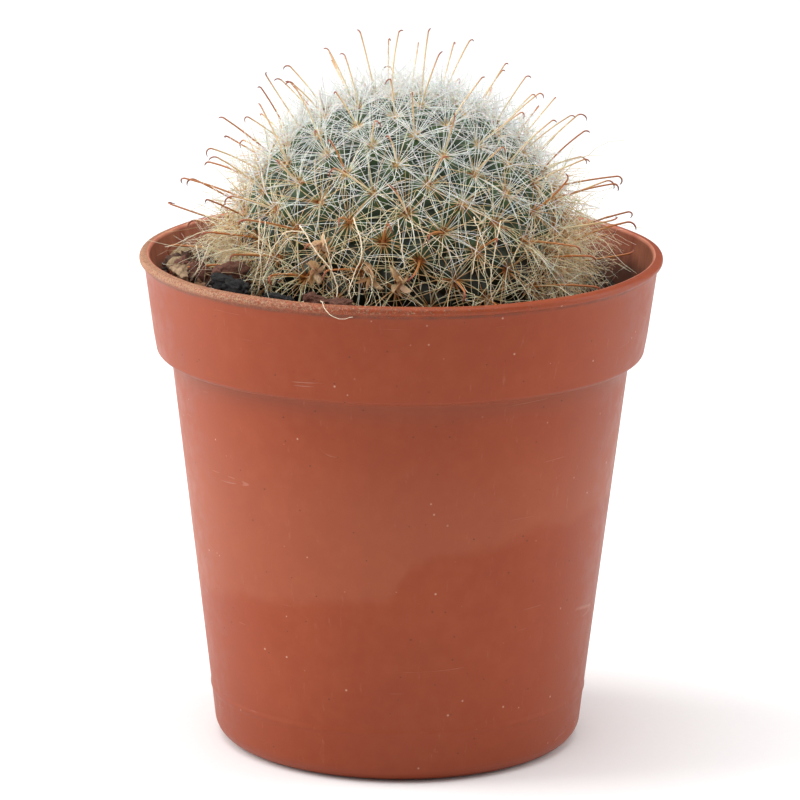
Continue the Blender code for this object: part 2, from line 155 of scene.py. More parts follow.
# ---- node helpers
class Tree:
    """A material's node tree, with short calls for the nodes used here."""

    def __init__(self, name):
        self.material = bpy.data.materials.new(name)
        self.material.use_nodes = True
        self.nodes = self.material.node_tree.nodes
        self.links = self.material.node_tree.links
        self.shader = self.nodes["Principled BSDF"]

    def add(self, kind, **settings):
        made = self.nodes.new("ShaderNode" + kind)
        for key, value in settings.items():
            setattr(made, key, value)
        return made

    def socket(self, node, key):
        """A node's input: i0 is its first, and an underscore in a name stands for a space."""
        if key[0] == "i" and key[1:].isdigit():
            return node.inputs[int(key[1:])]
        return node.inputs[key.replace("_", " ")]

    def feed(self, node, **inputs):
        """Sets or links a node's inputs."""
        for key, value in inputs.items():
            if isinstance(value, bpy.types.NodeSocket):
                self.links.new(value, self.socket(node, key))
            else:
                self.socket(node, key).default_value = value
        return node

    def math(self, operation, a, b=0.0, clamp=False):
        made = self.add("Math", operation=operation, use_clamp=clamp)
        return self.feed(made, i0=a, i1=b).outputs[0]

    def plus(self, a, b):
        return self.math("ADD", a, b)

    def minus(self, a, b):
        return self.math("SUBTRACT", a, b)

    def times(self, a, b):
        return self.math("MULTIPLY", a, b)

    def millimetres(self):
        """The object's own coordinates in millimetres."""
        place = self.add("TexCoord").outputs["Object"]
        scaled = self.add("VectorMath", operation="SCALE")
        self.feed(scaled, i0=place, Scale=1000.0)
        return scaled.outputs[0]

    def split(self, vector):
        return self.feed(self.add("SeparateXYZ"), Vector=vector).outputs

    def stretched(self, vector, x, y, z):
        made = self.add("VectorMath", operation="MULTIPLY")
        return self.feed(made, i0=vector, i1=(x, y, z)).outputs[0]

    def noise(self, vector, scale, detail=4.0, roughness=0.55, distortion=0.0):
        made = self.add("TexNoise")
        self.feed(made, Vector=vector, Scale=scale, Detail=detail)
        return self.feed(made, Roughness=roughness, Distortion=distortion).outputs["Fac"]

    def cells(self, vector, scale):
        return self.feed(self.add("TexVoronoi"), Vector=vector, Scale=scale).outputs["Distance"]

    def between(self, value, low, high, to_low=0.0, to_high=1.0):
        made = self.add("MapRange", clamp=True, interpolation_type="SMOOTHSTEP")
        self.feed(made, Value=value, From_Min=low, From_Max=high, To_Min=to_low, To_Max=to_high)
        return made.outputs[0]

    def ramp(self, value, *stops):
        """A colour ramp through (position, colour) stops."""
        made = self.add("ValToRGB")
        points = made.color_ramp.elements
        while len(points) < len(stops):
            points.new(0.5)
        for point, (position, colour) in zip(points, stops):
            point.position = position
            point.color = (*colour, 1)
        return self.feed(made, Fac=value).outputs["Color"]

    def mix(self, factor, first, second, blend="MIX"):
        """Two colours mixed, each of them a socket or a plain colour."""
        made = self.add("Mix", data_type="RGBA", blend_type=blend)
        for number, value in ((0, factor), (6, first), (7, second)):
            plain = isinstance(value, tuple)
            self.feed(made, **{f"i{number}": (*value, 1) if plain else value})
        return made.outputs[2]

    def attribute(self, name):
        return self.add("Attribute", attribute_name=name).outputs["Fac"]

    def bump(self, height, strength, distance, after=None):
        made = self.add("Bump")
        self.feed(made, Height=height, Strength=strength, Distance=distance)
        if after is not None:
            self.links.new(after, made.inputs["Normal"])
        return made.outputs["Normal"]

    def done(self, **inputs):
        self.feed(self.shader, **inputs)
        return self.material


# ---- materials
def dust_reflection_and_shade(t, place, colour):
    """A pale film on the upper body, partly dust and partly painted reflection, and painted shade towards
    the foot, under the band and under the lip.
    """
    x, _, z = t.split(place)
    # The pale film, partly dust and partly painted reflection, ends at an edge that is higher on the
    # right.
    edge = t.plus(t.between(x, -2.0, 3.0, 31.0, 38.0), t.times(x, 0.13))
    edge = t.plus(edge, t.times(t.noise(place, 0.10, 2), 5.0))
    dust_and_reflection = t.times(t.between(t.minus(z, edge), -1.2, 1.6), t.between(z, 66.0, 44.0))
    colour = t.mix(t.times(dust_and_reflection, 0.075), colour, (0.58, 0.28, 0.17))
    # Painted shade: darker towards the foot.
    colour = t.mix(t.between(z, 32.0, 2.0, 0, 0.20), colour, (0.16, 0.025, 0.006))
    # Painted shade under the band.
    step = BAND_FOOT_HEIGHT / MM
    corner = t.times(t.between(z, step - 5, step), t.between(z, step + 0.7, step + 0.3))
    colour = t.mix(t.times(corner, 0.35), colour, (0.17, 0.045, 0.02))
    # Painted shadow under the lip, where it meets the band.
    lip_foot = (POT_HEIGHT - LIP_HEIGHT) / MM
    lip_shadow = t.between(t.math("ABSOLUTE", t.minus(z, lip_foot - 0.2)), 0.55, 0.1)
    lip_shadow = t.times(lip_shadow, t.between(t.noise(place, 0.25, 4), 0.35, 0.65, 0.2, 0.7))
    return t.mix(lip_shadow, colour, (0.12, 0.035, 0.018))


def scuffs_and_specks(t, place, colour):
    """Faint scuffs, sparse pale grains, and fewer dark ones."""
    scuff = t.noise(t.stretched(place, 1, 1, 0.25), 0.9, 5, 0.7)
    colour = t.mix(t.between(scuff, 0.60, 0.78, 0, 0.14), colour, (0.56, 0.27, 0.18))
    pale = t.between(t.cells(place, 0.42), 0.10, 0.055)
    pale = t.times(pale, t.between(t.noise(place, 0.21, 2), 0.52, 0.60))
    colour = t.mix(t.times(pale, 0.45), colour, (0.70, 0.46, 0.34))
    dark = t.between(t.cells(t.stretched(place, 1.1, 0.9, 1.3), 0.3), 0.07, 0.035)
    return t.mix(t.times(dark, 0.7), colour, (0.05, 0.02, 0.012))


def scratches(t, place):
    """Thin lines where a slow noise crosses its middle, kept to a few patches."""
    tipped = t.add("Mapping")
    t.feed(tipped, Vector=place, Rotation=(0.0, radians(32), 0.0), Scale=(0.010, 0.010, 0.16))
    wander = t.noise(tipped.outputs["Vector"], 1.0, 1, 0.3)
    line = t.between(t.math("ABSOLUTE", t.minus(wander, 0.5)), 0.0035, 0.0008)
    return t.times(line, t.between(t.noise(t.stretched(place, 1, 1, 1.4), 0.10, 2), 0.60, 0.68))


def dirty_lip(t, place, colour):
    """Dirt on the lip under a crust of lime, both thickest at the left. Also gives the crust's relief."""
    x, y, z = t.split(place)
    on_lip = t.between(z, POT_HEIGHT / MM - 2.2, POT_HEIGHT / MM - 0.5)
    left = t.plus(t.times(x, -0.0034), t.times(y, -0.0012))
    dirt = t.between(t.plus(t.noise(place, 1.3, 5, 0.7), left), 0.52, 0.64)
    colour = t.mix(t.times(t.times(dirt, on_lip), 0.5), colour, (0.13, 0.055, 0.03))
    grain = t.noise(place, 3.0, 6, 0.8)
    crust = t.times(t.between(t.plus(grain, left), 0.57, 0.70), on_lip)
    colour = t.mix(t.times(crust, 0.55), colour, (0.60, 0.40, 0.25))
    return colour, crust, t.times(crust, grain)


def pot_outside():
    """Satin terracotta-coloured plastic, mottled and worn."""
    t = Tree("pot_plastic")
    place = t.millimetres()
    broad = t.noise(place, 0.045, 3)
    cloud = t.noise(place, 0.35, 4, 0.6)
    colour = t.ramp(broad, (0.3, (0.256, 0.039, 0.008)), (0.7, (0.284, 0.047, 0.011)))
    colour = t.mix(t.between(cloud, 0.35, 0.75, 0, 0.14), colour, (0.40, 0.11, 0.045))
    colour = dust_reflection_and_shade(t, place, colour)
    colour = scuffs_and_specks(t, place, colour)
    line = scratches(t, place)
    colour = t.mix(t.times(line, 0.18), colour, (0.62, 0.36, 0.27))
    colour, crust, relief = dirty_lip(t, place, colour)
    rough = t.between(cloud, 0.3, 0.7, 0.40, 0.50)
    rough = t.math("ADD", rough, t.times(crust, 0.4), clamp=True)
    rings = t.noise(t.stretched(place, 0.02, 0.02, 1.0), 1.1, 2)
    normal = t.bump(t.noise(place, 2.2, 3), 0.05, 0.0002)
    normal = t.bump(rings, 0.04, 0.0004, normal)
    normal = t.bump(t.minus(relief, line), 0.35, 0.0004, normal)
    return t.done(Base_Color=colour, Roughness=rough, Normal=normal, Specular_IOR_Level=0.27)


def pot_inside():
    """The inner wall: redder, scuffed, and darkened towards the soil by soil stain and painted shade."""
    t = Tree("pot_inner_wall")
    place = t.millimetres()
    z = t.split(place)["Z"]
    smear = t.noise(t.stretched(place, 1, 1, 0.4), 0.28, 5, 0.65)
    colour = t.ramp(smear, (0.3, (0.46, 0.12, 0.066)), (0.7, (0.66, 0.26, 0.15)))
    dust = t.between(t.noise(place, 1.2, 6, 0.75), 0.52, 0.8, 0, 0.5)
    colour = t.mix(dust, colour, (0.50, 0.32, 0.24))
    # Soil stain and painted shade darken the wall towards the soil.
    edge = t.plus(z, t.times(smear, 5.0))
    colour = t.mix(t.between(edge, 86.5, 81.0, 0, 0.85), colour, (0.055, 0.028, 0.018))
    normal = t.bump(smear, 0.15, 0.0005)
    return t.done(Base_Color=colour, Roughness=0.55, Normal=normal)


def stem_skin():
    """Waxy green, painted dark as shade under the spines, with painted shade deepest in the valleys and
    towards the soil, and yellower round each areole.
    """
    t = Tree("stem_skin")
    place = t.millimetres()
    # Painted shade: darkest in the valleys between the tubercles.
    colour = t.ramp(
        t.attribute("rise"),
        (0.05, (0.002, 0.005, 0.003)),
        (0.5, (0.010, 0.027, 0.009)),
        (0.95, (0.055, 0.11, 0.026)),
    )
    mottle = t.between(t.noise(place, 1.4, 4), 0.4, 0.75, 0, 0.4)
    colour = t.mix(mottle, colour, (0.035, 0.07, 0.02))
    # Painted shade on the stem towards the soil.
    height = t.split(place)["Z"]
    colour = t.mix(t.between(height, 98.0, 84.0, 0, 0.9), colour, (0.008, 0.008, 0.004))
    normal = t.bump(t.noise(place, 5.0, 3), 0.2, 0.0002)
    return t.done(Base_Color=colour, Roughness=0.48, Normal=normal, Specular_IOR_Level=0.4)


def areole_felt():
    """The short wool that the spines stand in: straw-coloured at the crown, rusty lower down."""
    t = Tree("areole_felt")
    place = t.millimetres()
    height = t.split(place)["Z"]
    fibre = t.noise(place, 4.0, 5, 0.8)
    young = t.ramp(fibre, (0.3, (0.62, 0.34, 0.10)), (0.7, (0.90, 0.70, 0.40)))
    old = t.ramp(fibre, (0.3, (0.28, 0.06, 0.015)), (0.7, (0.62, 0.25, 0.07)))
    colour = t.mix(t.between(height, 92.0, 106.0), old, young)
    return t.done(Base_Color=colour, Roughness=0.9, Normal=t.bump(fibre, 0.8, 0.0002))


def strand_material():
    """Spines, hairs and hooks. V picks a row, and so the kind and tint; U runs from root to tip."""
    t = Tree("spine_horn")
    along, across, _ = t.split(t.add("UVMap", uv_map="OFBake").outputs["UV"])
    row = t.math("FLOOR", t.times(across, STYLE_ROWS))
    colour = (0.0, 0.0, 0.0)
    for first_row, stops in STRAND_COLOURS.items():
        reached = t.math("GREATER_THAN", row, first_row - 0.5)
        colour = t.mix(reached, colour, t.ramp(along, *stops))
    tint = t.feed(t.add("TexWhiteNoise", noise_dimensions="1D"), W=row).outputs["Value"]
    shade = t.ramp(tint, (0.0, (0.80, 0.78, 0.74)), (0.5, (1.0, 1.0, 1.0)), (1.0, (1.0, 0.98, 0.94)))
    colour = t.mix(1.0, colour, shade, "MULTIPLY")
    t.feed(t.shader, Subsurface_Weight=0.22, Subsurface_Scale=0.0006)
    return t.done(Base_Color=colour, Roughness=0.42, Specular_IOR_Level=0.45)


def root_fibre():
    """Dry pale root threads."""
    t = Tree("root_fibre")
    fibre = t.noise(t.millimetres(), 2.5, 4, 0.7)
    colour = t.ramp(fibre, (0.3, (0.62, 0.46, 0.28)), (0.6, (0.86, 0.76, 0.58)), (0.8, (0.92, 0.86, 0.74)))
    return t.done(Base_Color=colour, Roughness=0.6, Normal=t.bump(fibre, 0.4, 0.0001))


def soil_material():
    """Dark peat with brown fibre and a few pale grains."""
    t = Tree("peat_soil")
    place = t.millimetres()
    crumb = t.noise(place, 0.9, 7, 0.7)
    colour = t.ramp(
        crumb,
        (0.3, (0.012, 0.008, 0.006)),
        (0.55, (0.045, 0.026, 0.016)),
        (0.78, (0.13, 0.075, 0.045)),
    )
    fibre = t.noise(t.stretched(place, 1, 0.2, 1), 3.0, 4, 0.6, 1.0)
    colour = t.mix(t.between(fibre, 0.6, 0.72, 0, 0.5), colour, (0.30, 0.19, 0.10))
    grain = t.between(t.cells(place, 0.55), 0.16, 0.10)
    grain = t.times(grain, t.between(t.noise(place, 0.3, 2), 0.56, 0.62))
    colour = t.mix(t.times(grain, 0.6), colour, (0.45, 0.36, 0.27))
    return t.done(Base_Color=colour, Roughness=0.92, Normal=t.bump(crumb, 0.9, 0.0008))


def crumb_material(name, dark, light, fleck, scale=1.6):
    """Bark and peat pieces: streaky, with lighter flecks."""
    t = Tree(name)
    place = t.millimetres()
    streak = t.noise(t.stretched(place, 1.6, 0.5, 1.0), scale, 6, 0.7, 0.6)
    colour = t.ramp(streak, (0.3, dark), (0.68, light))
    spark = t.between(t.noise(place, scale * 3, 4, 0.8), 0.60, 0.75, 0, 0.7)
    colour = t.mix(spark, colour, fleck)
    return t.done(Base_Color=colour, Roughness=0.82, Normal=t.bump(streak, 0.9, 0.0006))


def husk_material():
    """Papery dried petals: tan and straw, with veins and a pinkish blush."""
    t = Tree("dry_husk")
    place = t.millimetres()
    vein = t.noise(t.stretched(place, 1.6, 1.6, 0.7), 1.3, 5, 0.65, 0.8)
    colour = t.ramp(
        vein,
        (0.25, (0.46, 0.22, 0.09)),
        (0.45, (0.82, 0.58, 0.32)),
        (0.7, (0.92, 0.80, 0.58)),
    )
    blush = t.between(t.noise(place, 0.5, 2), 0.45, 0.6, 0, 0.5)
    colour = t.mix(blush, colour, (0.84, 0.56, 0.42))
    return t.done(Base_Color=colour, Roughness=0.62, Normal=t.bump(vein, 0.8, 0.0004))


def floor_material():
    """Plain pale paper."""
    t = Tree("studio_paper")
    grain = t.noise(t.millimetres(), 0.8, 3)
    colour = t.ramp(grain, (0.0, (0.90, 0.90, 0.90)), (1.0, (0.93, 0.93, 0.93)))
    return t.done(Base_Color=colour, Roughness=0.85)


# ---- mesh helpers
def add_object(name, data):
    made = bpy.data.objects.new(name, data)
    bpy.context.scene.collection.objects.link(made)
    return made


def add_piece(name, mesh, slot, *materials, replaces=()):
    """Links a mesh as a piece that rides on the plant's body."""
    for surface in materials:
        mesh.materials.append(surface)
    made = add_object(name, mesh)
    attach(made, BODY)
    if replaces:
        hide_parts(*replaces)
    return made


def mesh_from_shape(name, shape, smooth=True):
    bmesh.ops.recalc_face_normals(shape, faces=shape.faces)
    mesh = bpy.data.meshes.new(name)
    shape.to_mesh(mesh)
    shape.free()
    if smooth:
        mesh.shade_smooth()
    return mesh


def apply_modifiers(piece):
    """Replaces a piece's mesh by what its modifiers make of it."""
    graph = bpy.context.evaluated_depsgraph_get()
    mesh = bpy.data.meshes.new_from_object(piece.evaluated_get(graph))
    piece.modifiers.clear()
    piece.data = mesh


def arc(centre, radius, start, end, steps):
    sweep = [radians(start + (end - start) * i / steps) for i in range(steps + 1)]
    return [(centre[0] + radius * cos(a), centre[1] + radius * sin(a)) for a in sweep]


def add_ring(shape, radius, sides, height_at):
    """A ring of points round the axis, or one point where the radius is 0."""
    ring = []
    for i in range(sides if radius > 0 else 1):
        turn = tau * i / sides
        ring.append(shape.verts.new((radius * cos(turn), radius * sin(turn), height_at(turn))))
    return ring


def skin_rings(shape, rings, sides):
    """Faces from each ring to the next, as one list for each gap."""
    bands = []
    for low, high in zip(rings, rings[1:]):
        band = []
        for i in range(sides):
            j = (i + 1) % sides
            corners = [low[i % len(low)], low[j % len(low)], high[j % len(high)], high[i % len(high)]]
            band.append(shape.faces.new(list(dict.fromkeys(corners))))
        bands.append(band)
    return bands


# ---- pot
def body_radius(height):
    return BODY_TOP_RADIUS - BODY_TAPER * (BAND_FOOT_HEIGHT - height)


def band_radius(height):
    slope = (BAND_TOP_RADIUS - BAND_FOOT_RADIUS) / (POT_HEIGHT - LIP_HEIGHT - BAND_FOOT_HEIGHT)
    return BAND_FOOT_RADIUS + slope * (height - BAND_FOOT_HEIGHT)


def inner_radius(height):
    over_step = height > BAND_FOOT_HEIGHT + WALL
    return (band_radius(height) if over_step else body_radius(height)) - WALL


def outside_profile():
    """(radius, height) from the middle of the underside out, up and onto the lip."""
    flat_radius = body_radius(FOOT_CORNER) - FOOT_CORNER
    lip_foot = POT_HEIGHT - LIP_HEIGHT
    lip_round = LIP_HEIGHT * 0.48
    band_round = 1.0 * MM
    points = [(0, FLOOR_RAISE)]
    points += [(FOOT_RING_INNER * share, FLOOR_RAISE) for share in (0.25, 0.5, 0.75, 0.94)]
    points += arc((FOOT_RING_INNER - 0.2 * MM, FLOOR_RAISE - 0.5 * MM), 0.5 * MM, 90, 20, 4)
    points += arc((FOOT_RING_INNER + 0.9 * MM, 0.45 * MM), 0.45 * MM, 190, 270, 4)
    points += arc((flat_radius, FOOT_CORNER), FOOT_CORNER, -90, -6, 12)
    # A faint raised ring that the mould leaves a little above the foot.
    ring = 9.2 * MM
    for step in range(-4, 5):
        height = ring + step * 0.22 * MM
        points.append((body_radius(height) + 0.14 * MM * cos(step * pi / 8) ** 2, height))
    rise = BAND_FOOT_HEIGHT - 1.2 * MM - ring
    points += [(body_radius(ring + rise * i / 14), ring + rise * i / 14) for i in range(1, 15)]
    points += arc((BODY_TOP_RADIUS + 0.95 * MM, BAND_FOOT_HEIGHT - 0.95 * MM), 0.95 * MM, 175, 95, 4)
    corner = (BAND_FOOT_RADIUS - band_round, BAND_FOOT_HEIGHT + band_round)
    points += arc(corner, band_round, -90, -6, 8)
    rise = lip_foot - 0.5 * MM - BAND_FOOT_HEIGHT - 2 * MM
    for i in range(1, 9):
        height = BAND_FOOT_HEIGHT + 2 * MM + rise * i / 8
        points.append((band_radius(height), height))
    points += arc((BAND_TOP_RADIUS + 0.35 * MM, lip_foot - 0.3 * MM), 0.3 * MM, 180, 95, 4)
    points += arc((RIM_RADIUS - lip_round, lip_foot + lip_round), lip_round, -70, 90, 10)
    return points


def inside_profile():
    """(radius, height) from the lip's inner edge down the wall and over the floor."""
    floor_top = FLOOR_RAISE + FLOOR_THICKNESS
    flat_radius = body_radius(FOOT_CORNER) - FOOT_CORNER
    shelf = BAND_FOOT_HEIGHT + WALL
    points = arc((RIM_RADIUS - LIP_WIDTH + 0.5 * MM, POT_HEIGHT - 0.5 * MM), 0.5 * MM, 90, 180, 5)
    drop = POT_HEIGHT - 1.2 * MM - shelf
    for i in range(9):
        height = POT_HEIGHT - 1.2 * MM - drop * i / 8
        points.append((inner_radius(height + 0.1 * MM), height + 0.1 * MM))
    points += [
        (inner_radius(shelf), shelf - 0.3 * MM),
        (inner_radius(40 * MM), 40 * MM),
        (inner_radius(floor_top + 2.2 * MM), floor_top + 2.2 * MM),
        (flat_radius, floor_top),
        (0, floor_top),
    ]
    return points


def sway_pot(shape):
    """Moulded plastic is never quite round: a slight sway of the wall and of the lip."""
    for vert in shape.verts:
        turn = atan2(vert.co.y, vert.co.x)
        up = max(0, vert.co.z / POT_HEIGHT)
        sway = 0.16 * MM * up * sin(2 * turn + 0.7) + 0.06 * MM * up * sin(5 * turn)
        stretch = 1 + sway / max(vert.co.xy.length, 20 * MM)
        vert.co.x *= stretch
        vert.co.y *= stretch
        if vert.co.z > POT_HEIGHT - 3 * MM:
            vert.co.z += 0.10 * MM * sin(3 * turn + 1.0) + 0.04 * MM * sin(11 * turn)


def drill_drain_holes(pot):
    cutters = []
    for i in range(DRAIN_HOLES):
        turn = tau * (i + 0.5) / DRAIN_HOLES
        at = Vector((DRAIN_CIRCLE_RADIUS * cos(turn), DRAIN_CIRCLE_RADIUS * sin(turn), 2 * MM))
        hole = bmesh.new()
        bmesh.ops.create_cone(
            hole,
            cap_ends=True,
            segments=40,
            radius1=DRAIN_HOLE_RADIUS,
            radius2=DRAIN_HOLE_RADIUS,
            depth=6 * MM,
            matrix=Matrix.Translation(at),
        )
        cutter = add_object(f"cutter_{i}", mesh_from_shape(f"cutter_{i}", hole))
        cut = pot.modifiers.new(cutter.name, "BOOLEAN")
        cut.operation = "DIFFERENCE"
        cut.solver = "EXACT"
        cut.object = cutter
        cutters.append(cutter)
    apply_modifiers(pot)
    for cutter in cutters:
        bpy.data.objects.remove(cutter)


def make_pot():
    outside = outside_profile()
    profile = outside + inside_profile()
    shape = bmesh.new()
    rings = [add_ring(shape, radius, POT_SIDES, lambda turn: height) for radius, height in profile]
    for band in skin_rings(shape, rings, POT_SIDES)[len(outside) :]:
        for face in band:
            face.material_index = 1
    sway_pot(shape)
    mesh = mesh_from_shape("pot", shape)
    pot = add_piece("pot", mesh, "pot_plastic", pot_outside(), pot_inside(), replaces=["nursery_pot"])
    drill_drain_holes(pot)
    pot.data.shade_smooth()
    pot.data.set_sharp_from_angle(angle=radians(38))


# ---- soil
def soil_top(radius, turn):
    """The soil's level: heaped against the wall at the front left, and lumpy."""
    outward = min(1, max(0, (radius - 28 * MM) / (8 * MM)))
    outward = outward * outward * (3 - 2 * outward)
    heap = SOIL_HEAP * outward * (0.5 + 0.5 * cos(turn - SOIL_HEAP_BEARING)) ** 1.5
    at = Vector((radius * cos(turn), radius * sin(turn), 0)) / MM
    lumps = 0.7 * noise.noise(at / 6) + 0.55 * noise.noise(at / 2.1) + 0.3 * noise.noise(at / 0.8)
    return SOIL_HEIGHT + heap + lumps * MM


def make_soil():
    """The plug of soil: its top is fine and lumpy, and its sides follow the pot's wall."""
    shape = bmesh.new()
    sides = 260
    gap = 0.3 * MM
    floor = FLOOR_RAISE + FLOOR_THICKNESS + gap
    shelf = BAND_FOOT_HEIGHT + WALL
    profile = [
        (0, floor),
        (body_radius(FOOT_CORNER) - FOOT_CORNER - gap, floor),
        (inner_radius(floor + 2.4 * MM) - gap, floor + 2.4 * MM),
        (inner_radius(shelf) - gap, shelf - 0.2 * MM),
        (inner_radius(shelf + MM) - gap, shelf + MM),
    ]
    rim = inner_radius(SOIL_HEIGHT) - gap
    tops = [rim - (rim - 20 * MM) * i / 44 for i in range(45)] + [0]
    rings = [add_ring(shape, radius, sides, lambda turn: height) for radius, height in profile]
    rings += [add_ring(shape, radius, sides, lambda turn: soil_top(radius, turn)) for radius in tops]
    skin_rings(shape, rings, sides)
    mesh = mesh_from_shape("soil", shape)
    add_piece("soil", mesh, "peat_soil", soil_material(), replaces=["potting_soil"])


def upright(turn, radius, height):
    return Vector((radius * cos(turn), radius * sin(turn), height))


def add_lump(shape, subdivisions, centre, size, stretch, seed, roughness):
    """Adds one rough, turned lump to a mesh and returns its faces."""
    made = bmesh.ops.create_icosphere(shape, subdivisions=subdivisions, radius=0.5)["verts"]
    axis = Vector(chance.normal(size=3)).normalized()
    spin = Matrix.Rotation(chance.uniform(0, tau), 3, axis)
    for vert in made:
        rough = 1 + roughness * noise.noise(vert.co * 5 + Vector((seed, 0, 0)))
        vert.co = centre + spin @ Vector([a * b * size * rough for a, b in zip(vert.co, stretch)])
    return {face for vert in made for face in vert.link_faces}


def scatter_crumbs():
    """Peat crumbs and bark bits that lie on the soil, in one mesh."""
    shape = bmesh.new()
    wall = inner_radius(SOIL_HEIGHT)
    for n in range(CRUMBS):
        turn = chance.uniform(0, tau)
        radius = chance.uniform(29 * MM, wall - 1.2 * MM)
        size = chance.uniform(0.35, 1.0) ** 2 * 2.2 * MM
        centre = upright(turn, radius, soil_top(radius, turn) + size * 0.2)
        for face in add_lump(shape, 1, centre, size, chance.uniform(0.5, 1.5, 3), n, 0.3):
            face.material_index = n % 3
    mesh = mesh_from_shape("soil_crumbs", shape, smooth=False)
    kinds = (
        crumb_material("peat_crumb", (0.010, 0.007, 0.005), (0.05, 0.028, 0.018), (0.14, 0.09, 0.06)),
        crumb_material("bark_crumb_brown", (0.05, 0.022, 0.012), (0.16, 0.08, 0.045), (0.32, 0.2, 0.12)),
        crumb_material("bark_crumb_dark", (0.012, 0.010, 0.010), (0.06, 0.04, 0.035), (0.2, 0.14, 0.1)),
    )
    add_piece("soil_crumbs", mesh, "peat_soil", *kinds)


def scatter_bark():
    """A low mound of lumps at the left, then splinters, half of them at the left."""
    shape = bmesh.new()
    for n in range(MOUND_LUMPS):
        turn = radians(chance.normal(187, 9))
        radius = chance.uniform(36.5, 39.5) * MM
        size = chance.uniform(3.2, 5.4) * MM
        centre = upright(turn, radius, chance.uniform(81.5, 84.6) * MM)
        for face in add_lump(shape, 3, centre, size, chance.uniform(0.6, 1.2, 3), n, 0.5):
            face.material_index = (0, 1, 0, 2)[n % 4]
    for n in range(SPLINTERS):
        turn = radians(chance.normal(205, 28)) if n < 32 else chance.uniform(0, tau)
        size = chance.uniform(1.8, 4.2) * MM
        radius = chance.uniform(33, 40.2) * MM - size * 0.3
        centre = upright(turn, radius, soil_top(radius, turn) + 0.7 * MM)
        stretch = (1.0, chance.uniform(0.28, 0.6), chance.uniform(0.25, 0.5))
        for face in add_lump(shape, 2, centre, size, stretch, n, 0.55):
            face.material_index = n % 3
    mesh = mesh_from_shape("bark_splinters", shape, smooth=False)
    kinds = (
        crumb_material("bark_tan", (0.12, 0.05, 0.02), (0.36, 0.20, 0.10), (0.58, 0.42, 0.27)),
        crumb_material("bark_brown", (0.03, 0.012, 0.007), (0.13, 0.055, 0.030), (0.30, 0.17, 0.11)),
        crumb_material("bark_red", (0.05, 0.015, 0.010), (0.22, 0.075, 0.045), (0.45, 0.25, 0.17)),
    )
    add_piece("bark_splinters", mesh, "bark", *kinds)


# ---- stem
def areole_directions():
    found = []
    for n in range(SPIRAL_TURNS):
        cosine = 1 - SPIRAL_STEP * (n + 0.5)
        side = sqrt(1 - cosine * cosine)
        turn = SPIRAL_START - n * GOLDEN_ANGLE
        direction = SPIRAL_LEAN @ Vector((side * cos(turn), side * sin(turn), cosine))
        if direction.z > LOWEST_AREOLE_COSINE:
            found.append(direction)
    return np.array(found)


AREOLES = areole_directions()
AREOLE_FEET = AREOLES * STEM_SIZE + np.array(STEM_CENTRE)
CROWN = np.array(SPIRAL_LEAN @ Vector((0, 0, 1)))


def make_stem():
    """The skin: a dome over each areole's tubercle, with a small pit at its tip."""
    shape = bmesh.new()
    bmesh.ops.create_icosphere(shape, subdivisions=7, radius=1)
    mesh = mesh_from_shape("stem", shape)
    unit = np.empty(len(mesh.vertices) * 3)
    mesh.vertices.foreach_get("co", unit)
    unit = unit.reshape(-1, 3)
    unit /= np.linalg.norm(unit, axis=1)[:, None]
    nearest = (unit @ AREOLES.T).max(axis=1)
    gap = np.sqrt(np.maximum(0, 2 - 2 * nearest)) / TUBERCLE_REACH
    rise = np.maximum(0, 1 - gap ** 1.7)
    pit = np.exp(-((gap / 0.16) ** 2))
    skin = (STEM_SIZE - TUBERCLE_HEIGHT) * unit
    lifted = skin + unit * (TUBERCLE_HEIGHT * rise - 0.5 * MM * pit)[:, None]
    # Below the soil the stem narrows to its root crown.
    low = np.clip((-unit[:, 2] - 0.3) / 0.7, 0, 1)
    lifted[:, :2] *= ((1 - low) ** 0.4)[:, None]
    mesh.vertices.foreach_set("co", (lifted + np.array(STEM_CENTRE)).ravel())
    mesh.attributes.new("rise", "FLOAT", "POINT").data.foreach_set("value", rise)
    mesh.update()
    add_piece("stem", mesh, "stem_skin", stem_skin(), replaces=["cactus_stem"])


def make_areole_pads():
    shape = bmesh.new()
    for number, (foot, normal) in enumerate(zip(AREOLE_FEET, AREOLES)):
        made = bmesh.ops.create_icosphere(shape, subdivisions=2, radius=0.62 * MM)["verts"]
        for vert in made:
            push = 1 + 0.35 * noise.noise(vert.co / MM * 2 + Vector((number, 0, 0)))
            vert.co = Vector(foot - normal * 0.35 * MM) + vert.co * push
    add_piece("areole_wool", mesh_from_shape("areole_wool", shape), "spine_horn", areole_felt())


# ---- strands
def unit_rows(rows):
    return rows / np.maximum(np.linalg.norm(rows, axis=-1, keepdims=True), 1e-12)


def tangent_frames(normals):
    """Two unit vectors across each normal."""
    helper = np.where(np.abs(normals[:, 2:3]) > 0.9, (1.0, 0, 0), (0, 0, 1.0))
    first = unit_rows(np.cross(normals, helper))
    return first, np.cross(normals, first)


def turned(normals, turn):
    """Unit vectors across the normals, each turned round its normal."""
    first, second = tangent_frames(normals)
    return first * np.cos(turn)[:, None] + second * np.sin(turn)[:, None]


